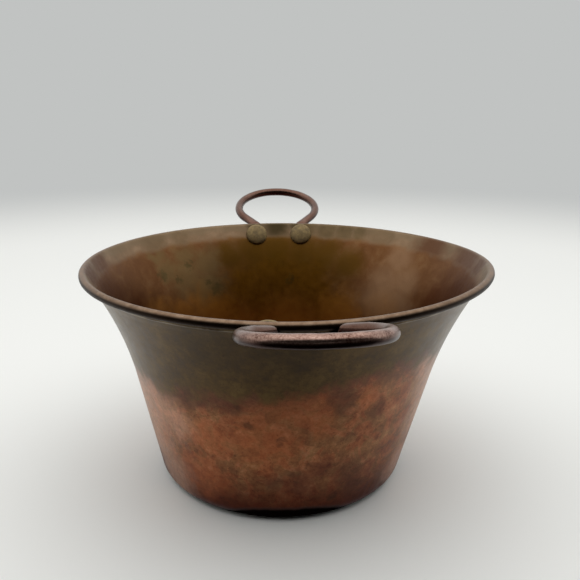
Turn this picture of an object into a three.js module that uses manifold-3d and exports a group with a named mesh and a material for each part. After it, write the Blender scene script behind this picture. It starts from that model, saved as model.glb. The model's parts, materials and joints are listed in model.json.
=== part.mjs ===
// Two-handled copper pan with a flared wall, a wired rolled rim and riveted omega handles.
// Millimetres, +Z up. The origin is the centre of the flat base, and the handles lie on -Y and +Y.
import * as THREE from "three";
import { mergeVertices } from "three/addons/utils/BufferGeometryUtils.js";
import Module from "manifold-3d";

// Pan body: one raised copper sheet
const rimRadius = 141; // to the outside of the rolled bead
const rimHeight = 153.6; // to the top of the bead
const sheet = 1.2; // gauge of the copper
const baseRadius = 75.6; // flat that the pan stands on
const cornerRadius = 13; // outside of the turn from base to wall
const taperAngle = THREE.MathUtils.degToRad(13.8); // lower wall, off the vertical
const flareStart = 80; // height where the wall begins to flare
const lipAngle = THREE.MathUtils.degToRad(33); // lip above the crease, off the vertical
const lipLength = 13; // from the crease to the start of the bead
const rimLean = 4.1; // raised by eye, the rim ends up this far off the base's centre, towards +X

// Rolled rim
const wireDiameter = 2.2;
const beadSlit = 0.5; // between the curled edge and the lip that it turns back to

// Handles: round rod bent to an omega, its ends forged to flat pads
const rodDiameter = 7;
const loopRadius = 35.3; // to the rod's centre
const neckSpacing = 41; // between the rod's centres where the legs come to the rim
const legAngle = THREE.MathUtils.degToRad(35); // straight legs close in on the rim, off straight out
const neckGap = 1; // between the rod and the outside of the bead
const neckDrop = 2; // rod's centre at the neck, below the top of the bead
const frontRise = THREE.MathUtils.degToRad(14.6); // each loop was bent up by eye
const rearRise = THREE.MathUtils.degToRad(17);
const handleSkew = THREE.MathUtils.degToRad(0.66); // both handles are set a little towards +X
const padWidth = 14;
const padHeight = 9.6;
const padThickness = 3;
const padLift = 0.7; // pad's centre above the rivet's
const padBevel = 0.6;
const bendStops = [5, 42, 78].map(THREE.MathUtils.degToRad); // round the bead, from straight off the lip
const footSpans = bendStops.length + 2; // spans of the centreline that are forged: up the foot and the leg
const forgeTaper = 2.5; // power by which the forged section draws down to the rod

// Rivets
const rivetSpacing = 39; // across each pair
const rivetDrop = 8.7; // from the start of the bead down the lip
const shankDiameter = 4.8;
const headDiameter = 18.2; // domed head inside the pan
const headHeight = 4;
const smallHeadDiameter = 16.4; // the front right one hides behind the rim, so it is smaller and flatter
const smallHeadHeight = 2.4;
const headEdge = 0.9; // straight edge under the dome
const tailDiameter = 7; // peened end outside
const tailHeight = 1.7;

// Fits and facets
const clearance = 0.3;
const turnSteps = 64; // round the pan
const cornerSteps = 5;
const flareSteps = 6;
const curlSteps = 11;
const wireSides = 8;
const rodSides = 10;
const loopSteps = 8; // spans of the half loop, two rings in each
const padSteps = 9; // round half of a pad
const rivetSteps = 16; // round a rivet
const headSteps = 5; // from the edge of a head to its crown
const tailSteps = 3;

const copper = new THREE.MeshStandardMaterial({ color: 0x7a4a30, roughness: 0.45, metalness: 1 });
const iron = new THREE.MeshStandardMaterial({ color: 0x4a4540, roughness: 0.7, metalness: 1 });
const rodCopper = new THREE.MeshStandardMaterial({ color: 0x8e6f68, roughness: 0.4, metalness: 1 });
const rivetCopper = new THREE.MeshStandardMaterial({ color: 0x75654a, roughness: 0.5, metalness: 1 });

const wasm = await Module();
wasm.setup();

function solidOf(geometry) {
  const bare = new THREE.BufferGeometry();
  bare.setAttribute("position", geometry.getAttribute("position"));
  bare.setIndex(geometry.index);
  const merged = mergeVertices(bare, 1e-4);
  const corners = merged.index.array;
  const triangles = [];
  for (let i = 0; i < corners.length; i += 3) {
    const [a, b, c] = corners.slice(i, i + 3);
    if (a !== b && b !== c && c !== a) triangles.push(a, b, c);
  }
  return new wasm.Manifold(
    new wasm.Mesh({
      numProp: 3,
      vertProperties: new Float32Array(merged.getAttribute("position").array),
      triVerts: new Uint32Array(triangles),
    }),
  );
}

function geometryOf(solid) {
  const mesh = solid.getMesh();
  const geometry = new THREE.BufferGeometry();
  geometry.setAttribute("position", new THREE.BufferAttribute(new Float32Array(mesh.vertProperties), 3));
  geometry.setIndex(new THREE.BufferAttribute(new Uint32Array(mesh.triVerts), 1));
  geometry.computeVertexNormals();
  return geometry;
}

// Turns an (r, z) outline round the Z axis
function turned(outline, steps) {
  return new THREE.LatheGeometry(outline, steps).rotateX(Math.PI / 2);
}

// Places on the rim's section, all in (r, z)
const beadRadius = wireDiameter / 2 + clearance + sheet;
const beadCentre = new THREE.Vector2(rimRadius - beadRadius, rimHeight - beadRadius);
const lipUp = new THREE.Vector2(Math.sin(lipAngle), Math.cos(lipAngle));
const lipOut = new THREE.Vector2(Math.cos(lipAngle), -Math.sin(lipAngle));

// Point on the lip's outer face, a distance down from the start of the bead
function onLip(down) {
  return beadCentre.clone().addScaledVector(lipOut, sheet - beadRadius).addScaledVector(lipUp, -down);
}

// Outer face of the sheet from the middle of the base up to the curl's cut edge
function sheetOutline() {
  const cornerEnd = new THREE.Vector2(
    baseRadius + cornerRadius * Math.cos(taperAngle),
    cornerRadius * (1 - Math.sin(taperAngle)),
  );
  const taper = new THREE.Vector2(Math.sin(taperAngle), Math.cos(taperAngle));
  const flareFoot = cornerEnd.clone().addScaledVector(taper, (flareStart - cornerEnd.y) / taper.y);
  const crease = onLip(lipLength);
  const flarePull = flareFoot.clone().addScaledVector(taper, flareFoot.distanceTo(crease) / 2);
  const curlTurn = 2 * Math.PI - Math.acos(1 - (sheet + beadSlit) / beadRadius);
  const curlFrom = Math.PI - lipAngle;
  const corner = new THREE.EllipseCurve(
    baseRadius, cornerRadius, cornerRadius, cornerRadius, -Math.PI / 2, -taperAngle,
  );
  const flare = new THREE.QuadraticBezierCurve(flareFoot, flarePull, crease);
  const curl = new THREE.EllipseCurve(
    beadCentre.x, beadCentre.y, beadRadius - sheet, beadRadius - sheet, curlFrom, curlFrom - curlTurn, true,
  );
  return [
    new THREE.Vector2(0, 0),
    ...corner.getPoints(cornerSteps),
    ...flare.getPoints(flareSteps),
    ...curl.getPoints(curlSteps),
  ];
}

// The same outline moved a sheet's thickness to its left
function inset(outline, thickness) {
  const sides = outline.slice(1).map((point, i) => {
    const along = point.clone().sub(outline[i]).normalize();
    return new THREE.Vector2(-along.y, along.x);
  });
  return outline.map((point, i) => {
    const before = sides[Math.max(i - 1, 0)];
    const after = sides[Math.min(i, sides.length - 1)];
    return point.clone().addScaledVector(before.clone().add(after).normalize(), thickness);
  });
}

// Frame at a rivet: its origin on the lip's outer face, X along the rim, Y up the lip, Z straight out
const rivetPlace = onLip(rivetDrop);
const rivetTurn = Math.asin(rivetSpacing / 2 / rivetPlace.x);
function rivetFrame(side) {
  const aim = Math.PI / 2 - side * rivetTurn;
  const lift = ({ x, y }) => new THREE.Vector3(x * Math.cos(aim), x * Math.sin(aim), y);
  const up = lift(lipUp);
  const out = lift(lipOut);
  return new THREE.Matrix4().makeBasis(up.clone().cross(out), up, out).setPosition(lift(rivetPlace));
}

// A round bar on a rivet's axis, from one height over the lip's outer face to another
function boredBar(frame, diameter, from, to) {
  const bar = new THREE.CylinderGeometry(diameter / 2, diameter / 2, to - from, rivetSteps);
  return bar.rotateX(Math.PI / 2).translate(0, 0, (from + to) / 2).applyMatrix4(frame);
}

// Half of a forged size, along the foot and the leg from the pad (0) to the round rod (1)
function forged(padSize, share) {
  return THREE.MathUtils.lerp(padSize, rodDiameter, Math.min(share, 1) ** forgeTaper) / 2;
}

// Handle, drawn on +Y: centreline of the half on +X, from the pad to the middle of the far bar
function rodCentreline(rise) {
  const neckX = neckSpacing / 2;
  const neckY = Math.sqrt((rimRadius + neckGap + rodDiameter / 2) ** 2 - neckX ** 2);
  const legLength = (loopRadius * Math.cos(legAngle) - neckX) / Math.sin(legAngle);
  const outward = new THREE.Vector3(0, Math.cos(rise), Math.sin(rise));
  const across = new THREE.Vector3(1, 0, 0);
  const neck = new THREE.Vector3(neckX, neckY, rimHeight - neckDrop);
  const centre = new THREE.Vector3(0, neckY, rimHeight - neckDrop);
  centre.addScaledVector(outward, legLength * Math.cos(legAngle) + loopRadius * Math.sin(legAngle));
  const loop = [];
  for (let i = 0; i <= loopSteps; i++) {
    const turn = THREE.MathUtils.lerp(Math.PI / 2 - legAngle, Math.PI, i / loopSteps);
    loop.push(
      centre
        .clone()
        .addScaledVector(across, loopRadius * Math.sin(turn))
        .addScaledVector(outward, -loopRadius * Math.cos(turn)),
    );
  }
  // From the neck the leg bends down round the bead and is forged out to the pad, over the rivet
  const frame = rivetFrame(1);
  const neckAside = neck.clone().applyMatrix4(frame.clone().invert()).x;
  const beadRise = beadRadius - sheet;
  const padMiddle = clearance + padThickness / 2;
  const round = bendStops.map((turn, i) => {
    const upFoot = bendStops.length - i;
    const bend = beadRadius + neckGap + forged(padThickness, upFoot / footSpans);
    return [
      (neckAside * upFoot) / (bendStops.length + 1),
      rivetDrop - bend * Math.sin(turn),
      beadRise + bend * Math.cos(turn),
    ];
  });
  const foot = [[0, padLift, padMiddle], ...round.reverse()];
  return [...foot.map((place) => new THREE.Vector3(...place).applyMatrix4(frame)), neck, ...loop];
}

// Rings of points swept from the pad to the far bar, then mirrored to the other pad
function rodLoft(rise) {
  const centreline = rodCentreline(rise);
  const curve = new THREE.CatmullRomCurve3(centreline);
  const steps = 2 * (centreline.length - 1);
  const footShare = footSpans / (centreline.length - 1);
  let breadth = new THREE.Vector3(1, 0, 0).transformDirection(rivetFrame(1));
  const half = [];
  for (let i = 0; i <= steps; i++) {
    const share = i / steps;
    const along = curve.getTangent(share);
    breadth = breadth.clone().addScaledVector(along, -breadth.dot(along)).normalize();
    const depth = along.clone().cross(breadth);
    const halfBreadth = forged(padWidth - 2 * padBevel, share / footShare);
    const halfDepth = forged(padThickness - padBevel, share / footShare);
    const ring = [];
    for (let k = 0; k < rodSides; k++) {
      const turn = (2 * Math.PI * k) / rodSides;
      ring.push(
        curve
          .getPoint(share)
          .addScaledVector(breadth, halfBreadth * Math.cos(turn))
          .addScaledVector(depth, halfDepth * Math.sin(turn)),
      );
    }
    half.push(ring);
  }
  const mirrored = half
    .slice(0, -1)
    .reverse()
    .map((ring) => ring.map((p) => new THREE.Vector3(-p.x, p.y, p.z)));
  const rings = [...half, ...mirrored];
  const index = [];
  for (let i = 0; i + 1 < rings.length; i++) {
    for (let k = 0; k < rodSides; k++) {
      const a = i * rodSides + k;
      const b = i * rodSides + ((k + 1) % rodSides);
      index.push(a, b, b + rodSides, a, b + rodSides, a + rodSides);
    }
  }
  const last = (rings.length - 1) * rodSides;
  for (let k = 1; k + 1 < rodSides; k++) {
    index.push(0, k + 1, k, last, last + k, last + k + 1);
  }
  return new THREE.BufferGeometry().setFromPoints(rings.flat()).setIndex(index);
}

function padBlank(frame) {
  const outline = new THREE.Shape();
  outline.absellipse(0, padLift, padWidth / 2 - padBevel, padHeight / 2 - padBevel, 0, 2 * Math.PI);
  const plate = new THREE.ExtrudeGeometry(outline, {
    depth: padThickness - 2 * padBevel,
    curveSegments: padSteps,
    bevelThickness: padBevel,
    bevelSize: padBevel,
    bevelSegments: 1,
  });
  return plate.translate(0, 0, clearance + padBevel).applyMatrix4(frame);
}

function handle(rise) {
  let forged = solidOf(rodLoft(rise));
  const padTop = clearance + padThickness;
  const hole = shankDiameter + 2 * clearance;
  const spot = tailDiameter + 2 * clearance;
  for (const side of [-1, 1]) {
    const frame = rivetFrame(side);
    forged = forged
      .add(solidOf(padBlank(frame)))
      .subtract(solidOf(boredBar(frame, hole, -padThickness, padTop + padThickness)))
      .subtract(solidOf(boredBar(frame, spot, padTop, padTop + rodDiameter)));
  }
  return geometryOf(forged);
}

function panBody() {
  const outer = sheetOutline();
  const inner = inset(outer, sheet).reverse();
  inner[inner.length - 1].x = 0;
  let body = solidOf(turned([...outer, ...inner], turnSteps));
  for (const turn of handleTurns) {
    for (const side of [-1, 1]) {
      const frame = rivetFrame(side).premultiply(new THREE.Matrix4().makeRotationZ(turn));
      const hole = boredBar(frame, shankDiameter + 2 * clearance, -2 * sheet, sheet);
      body = body.subtract(solidOf(hole));
    }
  }
  return geometryOf(body);
}

function rimWire() {
  const ring = new THREE.TorusGeometry(beadCentre.x, wireDiameter / 2, wireSides, turnSteps);
  return ring.translate(0, 0, beadCentre.y);
}

// Half of a spherical cap's outline, from its edge to its crown
function capOutline(diameter, height, steps) {
  const ball = (diameter ** 2 / 4 + height ** 2) / (2 * height);
  const reach = Math.acos(1 - height / ball);
  return Array.from({ length: steps + 1 }, (_, i) => {
    const turn = reach * (1 - i / steps);
    return new THREE.Vector2(ball * Math.sin(turn), height - ball + ball * Math.cos(turn));
  });
}

// Rivet on its own axis, heights over the lip's outer face: tail outwards, domed head inside the pan
function rivet(diameter, height) {
  const bowed = rivetPlace.x - Math.sqrt(rivetPlace.x ** 2 - (diameter / 2) ** 2);
  const headSeat = -sheet - clearance - bowed;
  const tailSeat = clearance + padThickness + clearance;
  const tail = capOutline(tailDiameter, tailHeight, tailSteps);
  tail.forEach((point) => point.setY(tailSeat + point.y));
  const head = capOutline(diameter, height - headEdge, headSteps);
  head.forEach((point) => point.setY(headSeat - headEdge - point.y));
  return turned(
    [
      ...head.reverse(),
      new THREE.Vector2(diameter / 2, headSeat),
      new THREE.Vector2(shankDiameter / 2, headSeat),
      new THREE.Vector2(shankDiameter / 2, tailSeat),
      ...tail,
    ],
    rivetSteps,
  );
}

function named(name, geometry, material) {
  const mesh = new THREE.Mesh(geometry, material);
  mesh.name = name;
  return mesh;
}

// Turns of the two handles about the pan's axis, from +Y
const handleTurns = [Math.PI + handleSkew, -handleSkew];

const pan = new THREE.Group();
pan.add(named("pan_body", panBody(), copper));
pan.add(named("rim_wire", rimWire(), iron));
const places = [
  { name: "front", rise: frontRise, turn: handleTurns[0], left: 1 },
  { name: "rear", rise: rearRise, turn: handleTurns[1], left: -1 },
];
for (const place of places) {
  const group = new THREE.Group();
  group.rotation.z = place.turn;
  group.add(named(`${place.name}_handle`, handle(place.rise), rodCopper));
  for (const side of [-1, 1]) {
    const hand = side === place.left ? "left" : "right";
    const small = place.name === "front" && hand === "right";
    const head = small ? [smallHeadDiameter, smallHeadHeight] : [headDiameter, headHeight];
    const pin = named(`${place.name}_${hand}_rivet`, rivet(...head), rivetCopper);
    pin.applyMatrix4(rivetFrame(side));
    group.add(pin);
  }
  pan.add(group);
}

// Everything stands out of true with the wall, in proportion to its height
pan.matrixAutoUpdate = false;
pan.matrix.makeShear(0, 0, 0, 0, rimLean / rimHeight, 0);

export default pan;
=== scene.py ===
import json
import math

import bmesh
import bpy
from mathutils import Matrix, Vector

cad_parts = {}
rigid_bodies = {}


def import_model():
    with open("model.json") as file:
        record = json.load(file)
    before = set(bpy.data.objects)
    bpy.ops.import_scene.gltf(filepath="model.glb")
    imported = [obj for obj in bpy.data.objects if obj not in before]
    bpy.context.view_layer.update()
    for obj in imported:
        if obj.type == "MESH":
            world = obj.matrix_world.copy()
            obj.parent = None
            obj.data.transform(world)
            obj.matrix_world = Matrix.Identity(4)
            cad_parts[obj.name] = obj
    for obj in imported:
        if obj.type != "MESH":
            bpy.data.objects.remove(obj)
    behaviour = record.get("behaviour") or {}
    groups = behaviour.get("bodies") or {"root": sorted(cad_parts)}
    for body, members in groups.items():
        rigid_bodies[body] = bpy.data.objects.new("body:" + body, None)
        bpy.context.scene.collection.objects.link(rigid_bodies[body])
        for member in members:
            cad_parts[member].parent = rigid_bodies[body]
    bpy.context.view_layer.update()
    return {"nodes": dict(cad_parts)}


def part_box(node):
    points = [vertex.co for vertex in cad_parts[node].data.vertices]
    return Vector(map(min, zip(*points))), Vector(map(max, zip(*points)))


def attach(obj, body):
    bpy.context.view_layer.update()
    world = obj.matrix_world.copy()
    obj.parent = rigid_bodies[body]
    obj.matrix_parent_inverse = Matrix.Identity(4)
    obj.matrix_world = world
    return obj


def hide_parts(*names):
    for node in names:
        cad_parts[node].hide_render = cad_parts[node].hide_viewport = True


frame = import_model()
mm = 0.001
scene = bpy.context.scene
scene.view_settings.view_transform = "Standard"
print("frame loaded:", len(frame["nodes"]), "nodes")


# sRGB hex to the linear colour that sockets take
def linear(hexColour):
    channels = [int(hexColour[i:i + 2], 16) / 255 for i in (1, 3, 5)]
    return [c / 12.92 if c <= 0.04045 else ((c + 0.055) / 1.055) ** 2.4 for c in channels] + [1.0]


# adds a node, sets its properties, fills or links its inputs by name or number, and sets a ramp's stops
def addNode(tree, kind, inputs=None, stops=(), **settings):
    node = tree.nodes.new(kind)
    for name, value in settings.items():
        setattr(node, name, value)
    for key, value in (inputs or {}).items():
        if isinstance(value, bpy.types.NodeSocket):
            tree.links.new(value, node.inputs[key])
        else:
            node.inputs[key].default_value = value
    while stops and len(node.color_ramp.elements) < len(stops):
        node.color_ramp.elements.new(1.0)
    for i, (place, colour) in enumerate(stops):
        node.color_ramp.elements[i].position = place
        node.color_ramp.elements[i].color = linear(colour)
    return node


def blend(low, high, share):
    return low + (high - low) * share


# Camera, fitted to the photo's outlines: its place, aim and lens
camera = {
    "place": Vector((-28.1, -486.9, 270.7)) * mm,
    "heading": math.radians(4.06),  # from +Y towards +X
    "pitch": math.radians(15.94),  # downwards
    "roll": math.radians(0.33),
    "focalPixels": 714,
    "framePixels": 580,
    "sensor": 36.0,
    "clipStart": 0.01,
}


def placeCamera():
    data = bpy.data.cameras.new("photoCamera")
    data.sensor_width = camera["sensor"]
    data.lens = camera["sensor"] * camera["focalPixels"] / camera["framePixels"]
    data.clip_start = camera["clipStart"]
    body = bpy.data.objects.new("photoCamera", data)
    upright = Matrix.Rotation(math.pi / 2 - camera["pitch"], 4, "X")
    turned = Matrix.Rotation(-camera["heading"], 4, "Z") @ upright @ Matrix.Rotation(camera["roll"], 4, "Z")
    body.matrix_world = Matrix.Translation(camera["place"]) @ turned
    scene.collection.objects.link(body)
    scene.camera = body


placeCamera()
print("camera placed")

# Pan body: one raised sheet, in millimetres as (r, z) places on its section
rimBox = [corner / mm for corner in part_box("pan_body")]
wireBox = [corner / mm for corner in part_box("rim_wire")]
pan = {
    "rimRadius": (rimBox[1].x - rimBox[0].x) / 2,
    "rimHeight": rimBox[1].z,
    "leanSlope": (wireBox[0].x + wireBox[1].x) / (wireBox[0].z + wireBox[1].z),  # rim off the base's centre
    "sheet": 1.2,
    "baseRadius": 75.6,
    "cornerRadius": 13.0,
    "taper": math.radians(13.8),
    "flareStart": 80.0,
    "lip": math.radians(33.0),
    "lipLength": 13.0,
    "beadRadius": 2.6,
    "wireRadius": 1.1,
    "beadSlit": 0.5,
    "ridgeDrop": 7.7,  # fine ridge left by the rim's stake, down the lip's outside from the bead
    "ridgeRise": 0.28,
    "ridgeWidth": 0.55,
    "turnSteps": 324,
    "baseStep": 4.0,  # spacing of the section's points along its straight stretches
    "wallStep": 2.6,
    "lipStep": 0.45,
    "cornerSteps": 16,  # and their count round its bends
    "flareSteps": 26,
    "curlSteps": 30,
    "wireSteps": 20,
    "beadFade": 5,  # steps over which the bead takes on its own colour
    "weld": 0.001,  # points nearer than this become one
    "unevenDepth": 0.55,  # raised by eye: long waves in the wall
    "unevenSize": 70.0,
    "highLift": 3.0,  # the rim stands this much higher on one side
    "highSide": math.radians(62),  # from the front towards +X
    "liftPower": 4.0,  # how sharply the lift gathers there and at the rim
    "dentDepth": 0.16,  # planished: shallow hammer faces
    "dentSize": 13.0,
    "seed": 11,
}
beadCentre = Vector((pan["rimRadius"] - pan["beadRadius"], pan["rimHeight"] - pan["beadRadius"]))
lipUp = Vector((math.sin(pan["lip"]), math.cos(pan["lip"])))
lipOut = Vector((math.cos(pan["lip"]), -math.sin(pan["lip"])))


# place on the lip's outer face, a distance down from the start of the bead
def onLip(down):
    return beadCentre + lipOut * (pan["sheet"] - pan["beadRadius"]) - lipUp * down


def arcPoints(centre, radius, start, stop, steps):
    turns = [blend(start, stop, i / steps) for i in range(steps + 1)]
    return [centre + Vector((math.cos(t), math.sin(t))) * radius for t in turns]


def linePoints(start, stop, step):
    count = max(1, round((stop - start).length / step))
    return [start.lerp(stop, i / count) for i in range(count + 1)]


# outer face of the sheet from the middle of the base to the curl's cut edge, with each point's stretch
def sheetOutline():
    taper = Vector((math.sin(pan["taper"]), math.cos(pan["taper"])))
    cornerCentre = Vector((pan["baseRadius"], pan["cornerRadius"]))
    cornerStart = -math.pi / 2
    corner = arcPoints(cornerCentre, pan["cornerRadius"], cornerStart, -pan["taper"], pan["cornerSteps"])
    flareFoot = corner[-1] + taper * ((pan["flareStart"] - corner[-1].y) / taper.y)
    crease = onLip(pan["lipLength"])
    pull = flareFoot + taper * ((crease - flareFoot).length / 2)
    shares = [i / pan["flareSteps"] for i in range(pan["flareSteps"] + 1)]
    flare = [flareFoot.lerp(pull, s).lerp(pull.lerp(crease, s), s) for s in shares]
    lip = linePoints(crease, onLip(0), pan["lipStep"])
    slitTurn = math.acos(1 - (pan["sheet"] + pan["beadSlit"]) / pan["beadRadius"])
    curlStart = math.pi - pan["lip"]
    curlStop = curlStart - 2 * math.pi + slitTurn
    curlRadius = pan["beadRadius"] - pan["sheet"]
    curl = arcPoints(beadCentre, curlRadius, curlStart, curlStop, pan["curlSteps"])
    stretches = [
        ("base", linePoints(Vector((0, 0)), corner[0], pan["baseStep"])),
        ("corner", corner),
        ("wall", linePoints(corner[-1], flareFoot, pan["wallStep"])),
        ("wall", flare),
        ("lip", lip),
        ("bead", curl),
    ]
    outline = []
    for name, points in stretches:
        outline += [(point, name) for point in (points if not outline else points[1:])]
    return outline


# the same points moved to the sheet's inner face
def innerFace(points, thickness):
    moved = []
    for i, point in enumerate(points):
        before = points[max(i - 1, 0)]
        after = points[min(i + 1, len(points) - 1)]
        along = (after - before).normalized()
        moved.append(point + Vector((-along.y, along.x)) * thickness)
    moved[0].x = 0.0
    return moved


# a section to turn: bare points whose sheetPlace says (inside, bead, metres below the bead)
def sectionMesh(name, points, marks):
    mesh = bpy.data.meshes.new(name)
    mesh.from_pydata([(p.x * mm, 0, p.y * mm) for p in points], [], [])
    places = mesh.attributes.new("sheetPlace", "FLOAT_VECTOR", "POINT")
    for item, mark in zip(places.data, marks):
        item.vector = mark
    section = bpy.data.objects.new(name, mesh)
    scene.collection.objects.link(section)
    return section


def panSection():
    outline = sheetOutline()
    outer = [point for point, name in outline]
    inner = innerFace(outer, pan["sheet"])
    marks = []
    for i, (point, name) in enumerate(outline):
        rest = [p for p, n in outline[i:] if n != "bead"]
        drop = sum((b - a).length for a, b in zip(rest, rest[1:]))
        curled = sum(n == "bead" for p, n in outline[:i])
        marks.append((min(curled / pan["beadFade"], 1.0) if name == "bead" else 0.0, drop * mm))
        near = (drop - pan["ridgeDrop"]) / pan["ridgeWidth"]
        outer[i] = point + lipOut * pan["ridgeRise"] * math.exp(-near * near)
    places = [(0.0, *mark) for mark in marks] + [(1.0, *mark) for mark in reversed(marks)]
    return sectionMesh("panSection", outer + inner[::-1], places)


# Geometry Nodes: trees with named inputs, set through their sockets' identifiers
def newTree(name, inputs):
    tree = bpy.data.node_groups.new(name, "GeometryNodeTree")
    tree.interface.new_socket(name="Geometry", in_out="OUTPUT", socket_type="NodeSocketGeometry")
    for label, kind in inputs.items():
        tree.interface.new_socket(name=label, in_out="INPUT", socket_type="NodeSocket" + kind)
    given = tree.nodes.new("NodeGroupInput")
    return tree, given.outputs


def endTree(tree, geometry, material):
    whole = addNode(tree, "GeometryNodeRealizeInstances", {"Geometry": geometry})
    smooth = addNode(tree, "GeometryNodeSetShadeSmooth", {"Geometry": whole.outputs[0]})
    painted = addNode(tree, "GeometryNodeSetMaterial", {"Geometry": smooth.outputs[0], "Material": material})
    addNode(tree, "NodeGroupOutput", {"Geometry": painted.outputs[0]})


# turns a section's points round Z, closes the seam and the poles, and carries sheetPlace over
def turnSection(tree, section, steps):
    source = addNode(tree, "GeometryNodeObjectInfo", {"Object": section}).outputs["Geometry"]
    size = addNode(tree, "GeometryNodeAttributeDomainSize", {"Geometry": source}).outputs["Point Count"]
    columns = addNode(tree, "ShaderNodeMath", {0: steps, 1: 1.0}, operation="ADD").outputs[0]
    grid = addNode(tree, "GeometryNodeMeshGrid", {"Vertices X": columns, "Vertices Y": size}).outputs["Mesh"]
    index = addNode(tree, "GeometryNodeInputIndex").outputs[0]
    row = addNode(tree, "ShaderNodeMath", {0: index, 1: size}, operation="FLOORED_MODULO").outputs[0]
    share = addNode(tree, "ShaderNodeMath", {0: index, 1: size}, operation="DIVIDE").outputs[0]
    column = addNode(tree, "ShaderNodeMath", {0: share}, operation="FLOOR").outputs[0]
    turn = addNode(tree, "ShaderNodeMath", {0: column, 1: steps}, operation="DIVIDE").outputs[0]
    angle = addNode(tree, "ShaderNodeMath", {0: turn, 1: 2 * math.pi}, operation="MULTIPLY").outputs[0]
    place = addNode(tree, "GeometryNodeInputPosition").outputs[0]
    mark = addNode(tree, "GeometryNodeInputNamedAttribute", {"Name": "sheetPlace"}, data_type="FLOAT_VECTOR")
    sampled = [
        addNode(
            tree, "GeometryNodeSampleIndex", {"Geometry": source, "Value": value, "Index": row},
            data_type="FLOAT_VECTOR",
        ).outputs[0]
        for value in (place, mark.outputs[0])
    ]
    spun = addNode(
        tree, "ShaderNodeVectorRotate", {"Vector": sampled[0], "Angle": angle}, rotation_type="Z_AXIS"
    ).outputs[0]
    stored = addNode(tree, "GeometryNodeStoreNamedAttribute", {
        "Geometry": grid, "Name": "sheetPlace", "Value": sampled[1],
    }, data_type="FLOAT_VECTOR").outputs[0]
    moved = addNode(tree, "GeometryNodeSetPosition", {"Geometry": stored, "Position": spun}).outputs[0]
    return addNode(tree, "GeometryNodeMergeByDistance", {
        "Geometry": moved, "Distance": pan["weld"] * mm,
    }).outputs[0]


# straight out from the pan's axis
def radialAt(tree, place):
    level = addNode(tree, "ShaderNodeVectorMath", {0: place, 1: (1, 1, 0)}, operation="MULTIPLY").outputs[0]
    return addNode(tree, "ShaderNodeVectorMath", {0: level}, operation="NORMALIZE").outputs[0]


# moves points along a direction by soft noise, to either side of where they were
def workByHand(tree, geometry, direction, depth, size, seed):
    place = addNode(tree, "GeometryNodeInputPosition").outputs[0]
    scale = addNode(tree, "ShaderNodeMath", {0: 1.0, 1: size}, operation="DIVIDE").outputs[0]
    noise = addNode(
        tree, "ShaderNodeTexNoise", {"Vector": place, "W": seed, "Scale": scale, "Detail": 1.0},
        noise_dimensions="4D",
    ).outputs[0]
    swing = addNode(tree, "ShaderNodeMath", {0: noise, 1: 0.5}, operation="SUBTRACT").outputs[0]
    amount = addNode(tree, "ShaderNodeMath", {0: swing, 1: depth}, operation="MULTIPLY").outputs[0]
    offset = addNode(
        tree, "ShaderNodeVectorMath", {0: direction, "Scale": amount}, operation="SCALE"
    ).outputs[0]
    return addNode(tree, "GeometryNodeSetPosition", {"Geometry": geometry, "Offset": offset}).outputs[0]


# inputs of all handwork: the hammer's dents, and what puts the pan out of true
handwork = {
    "Dent Depth": "Float", "Dent Size": "Float", "Seed": "Float", "Material": "Material",
    "Uneven Depth": "Float", "Uneven Size": "Float", "Uneven Seed": "Float", "Lean Slope": "Float",
    "High Side": "Vector", "High Lift": "Float", "Rim Height": "Float",
}


# raised by eye, the whole pan is a little out of round, leans, and stands high on one side of its rim
def standOutOfTrue(tree, geometry, given):
    place = addNode(tree, "GeometryNodeInputPosition").outputs[0]
    radial = radialAt(tree, place)
    depth, size, seed = (given["Uneven " + name] for name in ("Depth", "Size", "Seed"))
    geometry = workByHand(tree, geometry, radial, depth, size, seed)
    height = addNode(tree, "ShaderNodeSeparateXYZ", {0: place}).outputs["Z"]
    aside = addNode(
        tree, "ShaderNodeMath", {0: height, 1: given["Lean Slope"]}, operation="MULTIPLY"
    ).outputs[0]
    facing = addNode(
        tree, "ShaderNodeVectorMath", {0: radial, 1: given["High Side"]}, operation="DOT_PRODUCT"
    ).outputs["Value"]
    share = addNode(
        tree, "ShaderNodeMath", {0: height, 1: given["Rim Height"]}, operation="DIVIDE"
    ).outputs[0]
    near = addNode(tree, "ShaderNodeMath", {0: facing, 1: 0.0}, operation="MAXIMUM").outputs[0]
    both = addNode(tree, "ShaderNodeMath", {0: near, 1: share}, operation="MULTIPLY").outputs[0]
    steep = addNode(tree, "ShaderNodeMath", {0: both, 1: pan["liftPower"]}, operation="POWER").outputs[0]
    lift = addNode(
        tree, "ShaderNodeMath", {0: steep, 1: given["High Lift"]}, operation="MULTIPLY"
    ).outputs[0]
    offset = addNode(tree, "ShaderNodeCombineXYZ", {"X": aside, "Z": lift}).outputs[0]
    return addNode(tree, "GeometryNodeSetPosition", {"Geometry": geometry, "Offset": offset}).outputs[0]


# turns a sheet from its section, planishes it and sets it out of true
def sheetTree():
    tree, given = newTree("turnedSheet", {"Section": "Object", "Turn Steps": "Int", **handwork})
    geometry = turnSection(tree, given["Section"], given["Turn Steps"])
    radial = radialAt(tree, addNode(tree, "GeometryNodeInputPosition").outputs[0])
    geometry = workByHand(tree, geometry, radial, given["Dent Depth"], given["Dent Size"], given["Seed"])
    endTree(tree, standOutOfTrue(tree, geometry, given), given["Material"])
    return tree


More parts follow.
